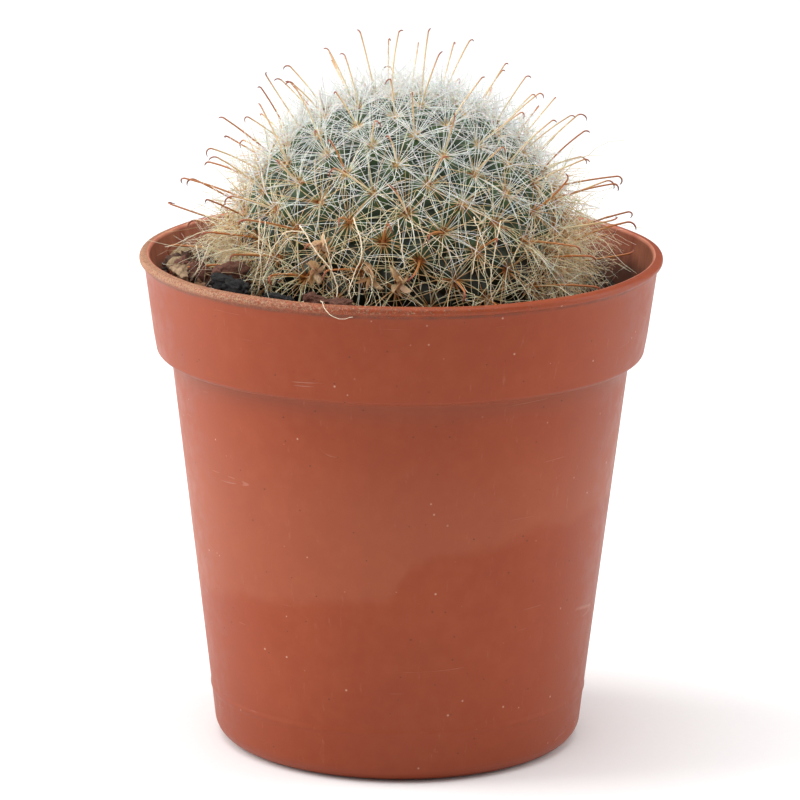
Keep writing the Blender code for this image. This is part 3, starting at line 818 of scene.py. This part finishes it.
class Strands:
    """Many thin tapering tubes gathered for one mesh, all with the same number of points."""

    def __init__(self, sides=3):
        self.sides = sides
        self.lines, self.radii, self.styles, self.across = [], [], [], []

    def add(self, lines, radii, styles, across):
        """lines and radii are (strands, points[, 3]) arrays; across holds a vector off each line."""
        self.lines.append(lines)
        self.radii.append(radii)
        self.styles.append(styles)
        self.across.append(across)

    def mesh(self, name):
        lines = np.concatenate(self.lines)
        radii = np.concatenate(self.radii)
        styles = np.concatenate(self.styles)
        across = np.concatenate(self.across)
        count, points, sides = len(lines), lines.shape[1], self.sides
        forward = unit_rows(np.gradient(lines, axis=1))
        first = unit_rows(np.cross(forward, across[:, None, :]))
        second = np.cross(forward, first)
        turns = tau * np.arange(sides) / sides
        ring = first[:, :, None] * np.cos(turns)[:, None] + second[:, :, None] * np.sin(turns)[:, None]
        verts = lines[:, :, None] + ring * radii[:, :, None, None]
        index = np.arange(count * points * sides).reshape(count, points, sides)
        after = np.roll(index, -1, axis=2)
        quads = np.stack((index[:, :-1], after[:, :-1], after[:, 1:], index[:, 1:]), axis=-1)
        quads = quads.reshape(-1, 4)
        caps = np.concatenate((index[:, 0, ::-1], index[:, -1]))
        along = np.linspace(0.01, 0.99, points)
        u = np.stack((along[:-1], along[:-1], along[1:], along[1:]), axis=-1)
        u = np.broadcast_to(u[None, :, None], (count, points - 1, sides, 4))
        place = np.arange(sides) / sides
        v = np.stack((place, place + 1 / sides, place + 1 / sides, place), axis=-1)
        v = (styles[:, None, None, None] + 0.1 + 0.8 * v[None, None]) / STYLE_ROWS
        v = np.broadcast_to(v, (count, points - 1, sides, 4))
        quad_uv = np.stack((u, v), axis=-1).reshape(-1, 2)
        cap_u = np.repeat((0.02, 0.98), count)[:, None] + 0.008 * np.cos(turns)
        cap_v = (np.tile(styles, 2)[:, None] + 0.5 + 0.3 * np.sin(turns)) / STYLE_ROWS
        cap_uv = np.stack((cap_u, cap_v), axis=-1).reshape(-1, 2)
        mesh = bpy.data.meshes.new(name)
        mesh.vertices.add(verts.size // 3)
        mesh.vertices.foreach_set("co", verts.ravel())
        corners = np.concatenate((quads.ravel(), caps.ravel()))
        mesh.loops.add(len(corners))
        mesh.loops.foreach_set("vertex_index", corners)
        starts = np.concatenate((np.arange(len(quads)) * 4, quads.size + np.arange(len(caps)) * sides))
        mesh.polygons.add(len(starts))
        mesh.polygons.foreach_set("loop_start", starts)
        mesh.update(calc_edges=True)
        layer = mesh.uv_layers.new(name="OFBake")
        layer.data.foreach_set("uv", np.concatenate((quad_uv, cap_uv)).ravel())
        mesh.shade_smooth()
        return mesh


def age_of(feet):
    """From 0 for the young areoles at the crown to 1 for the old ones down at the soil."""
    return np.clip((YOUNG_HEIGHT - feet[:, 2]) / AGEING_DROP, 0, 1)


def stay_in_pot(points):
    """Keeps strands over the soil and inside the pot's wall."""
    flat = np.linalg.norm(points[..., :2], axis=-1)
    inside = points[..., 2] < POT_HEIGHT + 0.6 * MM
    limit = RIM_RADIUS - LIP_WIDTH - 0.5 * MM
    shrink = np.where(inside & (flat > limit), limit / np.maximum(flat, 1e-9), 1)
    points[..., :2] *= shrink[..., None]
    bearing = np.arctan2(points[..., 1], points[..., 0])
    heap = np.clip((flat - 28 * MM) / (8 * MM), 0, 1)
    heap = heap * (0.5 + 0.5 * np.cos(bearing - SOIL_HEAP_BEARING)) ** 1.5
    floor = SOIL_HEIGHT + 0.6 * MM + SOIL_HEAP * heap
    points[..., 2] = np.maximum(points[..., 2], floor)
    return points


def radial_spines(foot, normal, age, count):
    """The fine spines of one areole, spread like a star and interlacing with its neighbours'."""
    steps = np.linspace(0, 1, 7)
    turn = tau * (np.arange(count) + chance.uniform(-0.8, 0.8, count)) / count
    flat = turned(normal[None], turn)
    # Most lie low over the skin, and the rest stand up from it.
    low = chance.random(count) < 0.6
    raised = np.where(low, chance.uniform(5, 28, count), chance.uniform(25, 64, count))
    # One in seven is a long thin wisp that bends across the others.
    wisp = chance.random(count) < 0.15
    lift = np.radians(raised)
    heading = flat * np.cos(lift)[:, None] + normal * np.sin(lift)[:, None]
    length = chance.normal(7.7, 1.2, count) * MM * (1 + 0.18 * age) * np.where(wisp, 1.25, 1)
    bend = chance.normal(0.04, 0.10, count) + 0.14 * age
    swerve = chance.normal(0, 0.15 + 0.20 * age, count) * np.where(wisp, 2.5, 1)
    sideways = np.cross(heading, normal) * swerve[:, None]
    root = foot + flat * 0.30 * MM
    s = steps[None, :, None]
    run = length[:, None, None]
    points = root[:, None] + heading[:, None] * run * s
    points = points - normal * (bend * length)[:, None, None] * s ** 2
    points = points + sideways[:, None] * run * s ** 2
    points[..., 2] -= 0.12 * age * run[..., 0] * steps ** 2
    thick = chance.uniform(0.046, 0.072, count) * MM * (1 + 0.35 * age) * np.where(wisp, 0.7, 1)
    radii = thick[:, None] * np.interp(steps, (0, 0.17, 0.6, 1), (1.5 + 0.6 * age, 1.0, 0.85, 0.4))
    fates = chance.random(count)
    family = np.where(fates < age * 0.6, TAN, np.where(fates < age * 1.3, CREAM, WHITE))
    styles = family + chance.integers(0, 16, count)
    return stay_in_pot(points), radii, styles, flat * 0.2 + normal + 0.01


def hooked_spine(foot, normal, age):
    """The central spine: a slightly arched shaft that ends in a hook, bent down and outward."""
    up = np.array((0, 0, 1.0))
    lift = 0.08 + 0.9 * max(0, 0.12 - normal[2])
    heading = unit_rows(normal + up * lift + chance.normal(0, 0.16, 3))
    outward = unit_rows(np.array((normal[0], normal[1], 0)) + 1e-6)
    bend = 0.5 * outward - up + chance.normal(0, 0.75, 3)
    bend = unit_rows(bend - heading * (bend @ heading))
    shaft = chance.uniform(8.4, 11.4) * MM * (1 + 0.08 * age)
    bow = chance.uniform(0.5, 0.95) * MM * (1 + 0.5 * age)
    sweep = radians(chance.uniform(85, 160))
    arch = radians(chance.uniform(4, 18))
    angles = np.concatenate((np.linspace(0, arch, 8), arch + sweep * (np.arange(9) + 0.5) / 9))
    pieces = np.concatenate((np.full(8, shaft / 8), np.full(9, bow * sweep / 9)))
    path = np.cos(angles)[:, None] * heading + np.sin(angles)[:, None] * bend
    points = np.concatenate((np.zeros((1, 3)), np.cumsum(path * pieces[:, None], axis=0))) + foot
    share = np.linspace(0, 1, len(points))
    radii = np.interp(share, (0, 0.5, 0.85, 1), (0.145, 0.13, 0.115, 0.04)) * MM * (1 + 0.35 * age)
    family = OLD_HOOK if chance.random() < 1.3 * age else YOUNG_HOOK
    style = np.array([family + chance.integers(0, 8)])
    across = unit_rows(np.cross(heading, bend))
    return points[None], radii[None], style, across[None]


def zone_of(normal):
    """The piece that gathers an areole's spines, by how far up it faces."""
    if normal[2] > 0.62:
        return "crown_spines"
    return "upper_spines" if normal[2] > 0.22 else "lower_spines"


def make_spines(surface):
    """Every third areole's spines stand for a CAD cluster; the rest are gathered by height."""
    number = 0
    rest = {"crown_spines": [], "upper_spines": [], "lower_spines": []}
    for n, (foot, normal, age) in enumerate(zip(AREOLE_FEET, AREOLES, age_of(AREOLE_FEET))):
        hairs = radial_spines(foot, normal, age, int(47 - 29 * age))
        hook = hooked_spine(foot, normal, age)
        if n % CLUSTER_STEP == 1:
            number += 1
            parts = [(3, hairs), (6, hook)]
            join_strands(f"spines_{number:02d}", parts, surface, [f"spine_cluster_{number:02d}"])
        else:
            gathered = rest[zone_of(normal)]
            gathered.append((3, hairs))
            # Some hooks have broken off, more of them low down.
            if chance.random() < 0.95 - 0.4 * age:
                gathered.append((6, hook))
    for name, parts in rest.items():
        join_strands(name, parts, surface, [])


def join_strands(name, parts, surface, replaced):
    """One piece from batches of (sides, strands)."""
    meshes = []
    for sides in sorted({sides for sides, _ in parts}):
        batch = Strands(sides)
        for found, strands in parts:
            if found == sides:
                batch.add(*strands)
        meshes.append(batch.mesh(f"{name}_{sides}"))
    shape = bmesh.new()
    for mesh in meshes:
        shape.from_mesh(mesh)
        bpy.data.meshes.remove(mesh)
    joined = bpy.data.meshes.new(name)
    shape.to_mesh(joined)
    shape.free()
    joined.shade_smooth()
    add_piece(name, joined, "spine_horn", surface, replaces=replaced)


def make_crown_wool(surface):
    """The silky white wool over the growing point and between the youngest tubercles."""
    count = CROWN_HAIRS
    steps = np.linspace(0, 1, 6)
    spread = np.radians(26) * np.sqrt(chance.random(count))
    turn = chance.uniform(0, tau, count)
    normals = CROWN * np.cos(spread)[:, None] + turned(CROWN[None], turn) * np.sin(spread)[:, None]
    feet = normals * (STEM_SIZE - 1.2 * MM) + np.array(STEM_CENTRE)
    heading = unit_rows(normals + chance.normal(0, 0.33, (count, 3)))
    curl = chance.normal(0, 0.30, (count, 3))
    length = chance.uniform(4, 11.5, count) * MM * (1 - 0.45 * spread / spread.max())
    s = steps[None, :, None]
    points = feet[:, None] + (heading[:, None] * s + curl[:, None] * s ** 2) * length[:, None, None]
    radii = (chance.uniform(0.026, 0.042, count) * MM)[:, None] * np.interp(steps, (0, 1), (1, 0.5))
    styles = WHITE + chance.integers(0, 16, count)
    wool = Strands(3)
    wool.add(points, radii, styles, unit_rows(np.cross(heading, curl)))
    add_piece("crown_wool", wool.mesh("crown_wool"), "spine_horn", surface)


def curly_lines(feet, headings, lengths, sag, curl_size, points):
    """Hair lines that leave their feet along the headings, sag and curl."""
    count = len(feet)
    s = np.linspace(0, 1, points)[None, :, None]
    drift = chance.normal(0, 0.35, (count, 3)) - np.array((0, 0, sag))
    lines = feet[:, None] + (headings[:, None] * s + drift[:, None] * s ** 2) * lengths[:, None, None]
    for axis in tangent_frames(headings):
        phase = chance.uniform(0, tau, (count, 1, 1))
        speed = chance.uniform(5, 15, (count, 1, 1))
        reach = chance.uniform(0.3, 1, (count, 1, 1)) * curl_size
        lines = lines + axis[:, None] * np.sin(s * speed + phase) * s * reach
    return lines


def around_stem(turn, radius, height):
    """Points round the stem, with the outward and sideways directions there."""
    level = np.zeros_like(turn)
    outward = np.stack((np.cos(turn), np.sin(turn), level), axis=-1)
    sideways = np.stack((-np.sin(turn), np.cos(turn), level), axis=-1)
    points = outward * radius[:, None]
    points[:, 2] = height
    return points, outward, sideways


def make_basal_hair(surface):
    """Old tan spines and fibres that tangle between the stem and the pot's wall."""
    hair = Strands(3)
    # (strands, bearing, spread of the bearing, curl, greatest length, share of cream hair)
    tufts = (
        (330, radians(-26), radians(11), 1.7 * MM, 8.5 * MM, 0.5),
        (120, radians(4), radians(20), 1.2 * MM, 8.5 * MM, 0.4),
        (360, radians(198), radians(11), 1.6 * MM, 12.0 * MM, 0.7),
        (110, radians(226), radians(14), 0.9 * MM, 8.5 * MM, 0.5),
        (220, radians(90), radians(60), 0.9 * MM, 9.0 * MM, 0.4),
        (30, radians(-90), radians(28), 0.8 * MM, 8.0 * MM, 0.4),
    )
    for count, bearing, spread, curl, longest, cream in tufts:
        turn = chance.normal(bearing, spread, count)
        feet, outward, sideways = around_stem(
            turn,
            STEM_RADIUS - 0.8 * MM + chance.uniform(0, 2.5, count) * MM,
            chance.uniform(79, 93, count) * MM,
        )
        headings = outward * chance.uniform(0.3, 1.0, count)[:, None]
        headings += sideways * chance.normal(0, 0.8, count)[:, None]
        headings[:, 2] += chance.normal(0.05, 0.45, count)
        lengths = chance.uniform(0.3, 1, count) * longest
        lines = curly_lines(feet, unit_rows(headings), lengths, 0.3, curl, 13)
        radii = (chance.uniform(0.03, 0.065, count) * MM)[:, None] * np.linspace(1, 0.5, 13)
        styles = np.where(chance.random(count) < cream, CREAM, TAN) + chance.integers(0, 16, count)
        hair.add(stay_in_pot(lines), radii, styles, outward + np.array((0, 0, 0.7)))
    add_piece("basal_hair", hair.mesh("basal_hair"), "spine_horn", surface)


def make_straws(surface):
    """Long curved cream spines that stand out from the older areoles and cross their neighbours."""
    straws = Strands(3)
    points = 12
    for foot, normal, age in zip(AREOLE_FEET, AREOLES, age_of(AREOLE_FEET)):
        count = int(round(9 * age * chance.random()))
        if count == 0:
            continue
        flat = turned(normal[None], chance.uniform(0, tau, count))
        headings = unit_rows(normal + flat * chance.uniform(0.5, 1.6, count)[:, None])
        feet = np.repeat(foot[None], count, axis=0)
        lines = curly_lines(feet, headings, chance.uniform(8, 14, count) * MM, 0.35, 1.5 * MM, points)
        radii = (chance.uniform(0.06, 0.10, count) * MM)[:, None] * np.linspace(1, 0.45, points)
        straws.add(stay_in_pot(lines), radii, CREAM + chance.integers(0, 16, count), flat + normal * 0.3)
    add_piece("straw_spines", straws.mesh("straw_spines"), "spine_horn", surface)


def smooth_path(waypoints, points):
    """A smooth line through (bearing in degrees, radius in mm, height in mm) waypoints."""
    bearing, radius, height = np.array(waypoints, float).T
    turn = np.radians(bearing)
    corners = np.stack((radius * np.cos(turn), radius * np.sin(turn), height), axis=-1)
    ends = np.concatenate((2 * corners[:1] - corners[1:2], corners, 2 * corners[-1:] - corners[-2:-1]))
    place = np.linspace(0, len(corners) - 1.001, points)
    index = place.astype(int)
    t = (place - index)[:, None]
    a, b, c, d = (ends[index + k] for k in range(4))
    line = b + 0.5 * t * (c - a + t * (2 * a - 5 * b + 4 * c - d + t * (3 * (b - c) + d - a)))
    return line * MM


def make_root_threads():
    """Pale branching threads that trail over the husks at the front, and loose ones on the left."""
    over_the_lip = ((254.5, 45.5, 85.2), (257, 45.6, 84.2), (260, 45.4, 84.6))
    # (thickness in mm, waypoints)
    trails = (
        (0.22, ((242, 36, 97), (248, 37, 93), (252, 37, 90), (254, 38, 87), (253, 39, 84))),
        (0.14, ((249, 36, 96), (251, 37, 93), (252, 37, 90))),
        (0.15, ((252, 37, 90), (252, 37, 92.5), (256, 37, 94), (260, 37, 93))),
        (0.22, ((257, 35, 99), (260, 37, 94), (258, 37, 90), (257, 38, 87), (259, 39, 84))),
        (0.14, ((260, 36, 95), (262, 36, 97), (266, 36, 97.5))),
        (0.13, ((252, 37, 90), (256, 37, 89), (259, 38, 86.5))),
        (0.13, ((253, 40, 84.5), (252, 42.6, 86.2), (253, 44.2, 86.4)) + over_the_lip),
        (0.17, ((229, 36, 97), (230, 37, 93), (231, 37, 89), (231, 38, 85))),
        (0.14, ((231, 36, 97), (231, 37, 92), (230, 38, 87), (228, 39, 84))),
        (0.18, ((244, 36, 96), (239, 37, 96), (235, 37, 93), (233, 38, 89))),
        (0.14, ((245, 36, 95), (240, 37, 95), (236, 37, 92))),
        (0.16, ((269, 35, 99), (270, 37, 95), (271, 37, 91))),
        (0.14, ((271, 35, 99), (279, 37, 96), (286, 37, 92))),
        (0.16, ((290, 35, 99), (292, 37, 94), (291, 38, 90))),
        (0.15, ((298, 35, 98), (295, 37, 94), (293, 38, 89), (293, 39, 85))),
        (0.13, ((288, 38, 90), (290, 37, 95), (293, 36, 97))),
        (0.20, ((209, 37, 91), (207, 38, 87), (204, 39, 84))),
        (0.16, ((204, 38, 90), (206, 38, 87), (204, 39, 84))),
    )
    points = 22
    threads = Strands(5)
    lines = np.stack([smooth_path(waypoints, points) for _, waypoints in trails])
    lines += chance.normal(0, 0.05 * MM, lines.shape)
    thickness = np.array([thick for thick, _ in trails]) * MM * 0.5
    radii = thickness[:, None] * np.linspace(1.15, 0.7, points)
    styles = CREAM + chance.integers(0, 16, len(trails))
    threads.add(lines, radii, styles, np.repeat(((0.3, -1.0, 0.2),), len(trails), axis=0))
    add_piece("root_threads", threads.mesh("root_threads"), "spine_horn", root_fibre())


# ---- chips, stones, husks
def detailed_copy(node, name, slot, surface, cuts, depth, grain):
    """A finer, rougher version of a loose CAD piece, in its place."""
    shape = bmesh.new()
    shape.from_mesh(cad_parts[node].data)
    bmesh.ops.remove_doubles(shape, verts=shape.verts, dist=0.01 * MM)
    bmesh.ops.subdivide_edges(shape, edges=shape.edges, cuts=cuts, use_grid_fill=True)
    bmesh.ops.triangulate(shape, faces=shape.faces)
    shape.normal_update()
    for vert in shape.verts:
        at = vert.co / MM
        push = noise.fractal(at * grain, 0.8, 2.1, 4)
        vert.co += vert.normal * push * depth
    mesh = mesh_from_shape(name, shape)
    add_piece(name, mesh, slot, surface, replaces=[node])


def add_petal(shape, base, along, across, length, width, seed):
    """A pointed papery blade, cupped across and curled along, with a front and a back."""
    away = along.cross(across).normalized()
    curl = chance.uniform(-0.5, 0.7) * length
    rows = []
    for i in range(8):
        t = i / 7
        half = 0.5 * width * sin(pi * (0.13 + 0.86 * t)) ** 0.7
        row = []
        for side in (-1, -0.5, 0, 0.5, 1):
            crease = 0.35 * MM * noise.noise(Vector((t * 2.5, side * 1.4, seed)))
            lift = curl * t * t + half * 0.6 * side * side + crease
            row.append(shape.verts.new(base + along * length * t + across * half * side + away * lift))
        rows.append(row)
    faces = [
        shape.faces.new((low[k], low[k + 1], high[k + 1], high[k]))
        for low, high in zip(rows, rows[1:])
        for k in range(4)
    ]
    # This gives the blade a back that lies on its front, with no thickness between them.
    bmesh.ops.solidify(shape, geom=faces, thickness=0)


def make_dried_flower(node, seed, surface):
    """A withered flower: a few curled petals round the outer end of the CAD's husk."""
    low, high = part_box(node)
    centre = (low + high) / 2
    outward = Vector((centre.x, centre.y, 0)).normalized()
    first = Vector((0, 0, 1))
    second = outward.cross(first)
    shape = bmesh.new()
    for i in range(6):
        turn = tau * (i + chance.uniform(-0.3, 0.3)) / 6
        splay = radians(chance.uniform(25, 80))
        flat = first * cos(turn) + second * sin(turn)
        along = (outward * cos(splay) + flat * sin(splay)).normalized()
        across = along.cross(outward.cross(flat) + outward * 0.2).normalized()
        long = chance.uniform(2.2, 3.4) * MM
        add_petal(shape, centre + outward * 1.6 * MM, along, across, long, long * 0.62, seed + i * 0.7)
    mesh = mesh_from_shape(node + "_petals", shape)
    add_piece(node + "_petals", mesh, "dry_husk", surface, replaces=[node])


def make_top_dressing():
    charcoal = crumb_material(
        "charcoal", (0.003, 0.003, 0.003), (0.016, 0.015, 0.015), (0.12, 0.11, 0.10), 2.6
    )
    bark = crumb_material("bark", (0.045, 0.015, 0.008), (0.19, 0.065, 0.035), (0.42, 0.25, 0.17))
    # Painted shade: the pale stone's colours are darkened for the shade that the pebbles lie in.
    stone = crumb_material("pale_stone", (0.16, 0.10, 0.05), (0.36, 0.26, 0.14), (0.52, 0.42, 0.28), 0.8)
    roll = crumb_material("rolled_husk", (0.12, 0.06, 0.03), (0.45, 0.31, 0.18), (0.70, 0.58, 0.42), 0.9)
    papery = husk_material()
    # (slot, material, cuts in each edge, depth of the relief, grain of the relief, nodes)
    kinds = (
        ("charcoal", charcoal, 9, 0.55 * MM, 2.2, ("charcoal_chip", "charcoal_sliver")),
        ("bark", bark, 7, 0.45 * MM, 1.1, ("red_bark_chip", "bark_flake", "bark_crumb")),
        ("pale_stone", stone, 4, 0.14 * MM, 0.9, ("pale_pebble", "back_pebble")),
        ("dry_husk", roll, 5, 0.3 * MM, 0.8, ("rolled_husk",)),
    )
    for slot, surface, cuts, depth, grain, nodes in kinds:
        for node in nodes:
            detailed_copy(node, node + "_rough", slot, surface, cuts, depth, grain)
    for number in range(1, 5):
        make_dried_flower(f"dry_flower_{number}", number * 3.1, papery)


# ---- floor and light
def make_floor():
    shape = bmesh.new()
    bmesh.ops.create_grid(shape, x_segments=8, y_segments=8, size=4.0)
    mesh = mesh_from_shape("floor", shape)
    mesh.materials.append(floor_material())
    floor = add_object("floor", mesh)


def soft_light(name, at, size, power, toward=(0, 0, 0.06)):
    light = bpy.data.lights.new(name, "AREA")
    light.shape = "RECTANGLE"
    light.size, light.size_y = size
    light.energy = power
    made = add_object(name, light)
    made.location = at
    made.rotation_euler = (Vector(toward) - Vector(at)).to_track_quat("-Z", "Y").to_euler()


def light_scene():
    world = bpy.data.worlds.new("studio")
    bpy.context.scene.world = world
    world.use_nodes = True
    world.node_tree.nodes["Background"].inputs["Color"].default_value = (1, 1, 1, 1)
    world.node_tree.nodes["Background"].inputs["Strength"].default_value = 0.34
    soft_light("top_softbox", (-0.1, -0.1, 1.3), (1.4, 1.4), 17)
    soft_light("left_softbox", (-1.1, 0.05, 0.55), (0.9, 1.0), 16)
    soft_light("right_softbox", (1.1, 0.15, 0.5), (0.9, 1.0), 8)
    bpy.context.scene.view_settings.view_transform = "Standard"


def place_camera():
    """In front and above, looking 14 degrees down through a long lens."""
    camera = bpy.data.cameras.new("camera")
    camera.sensor_width = 36
    camera.lens = CAMERA_LENS
    camera.clip_start = 0.05
    made = add_object("camera", camera)
    made.location = CAMERA_PLACE
    pitch = Matrix.Rotation(radians(90 - CAMERA_DROP), 3, "X")
    made.rotation_euler = (pitch @ Matrix.Rotation(radians(CAMERA_ROLL), 3, "Z")).to_euler()
    bpy.context.scene.camera = made


def main():
    place_camera()
    light_scene()
    make_floor()
    make_pot()
    make_soil()
    scatter_crumbs()
    scatter_bark()
    make_stem()
    make_areole_pads()
    horn = strand_material()
    make_spines(horn)
    make_crown_wool(horn)
    make_basal_hair(horn)
    make_straws(horn)
    make_root_threads()
    make_top_dressing()


main()
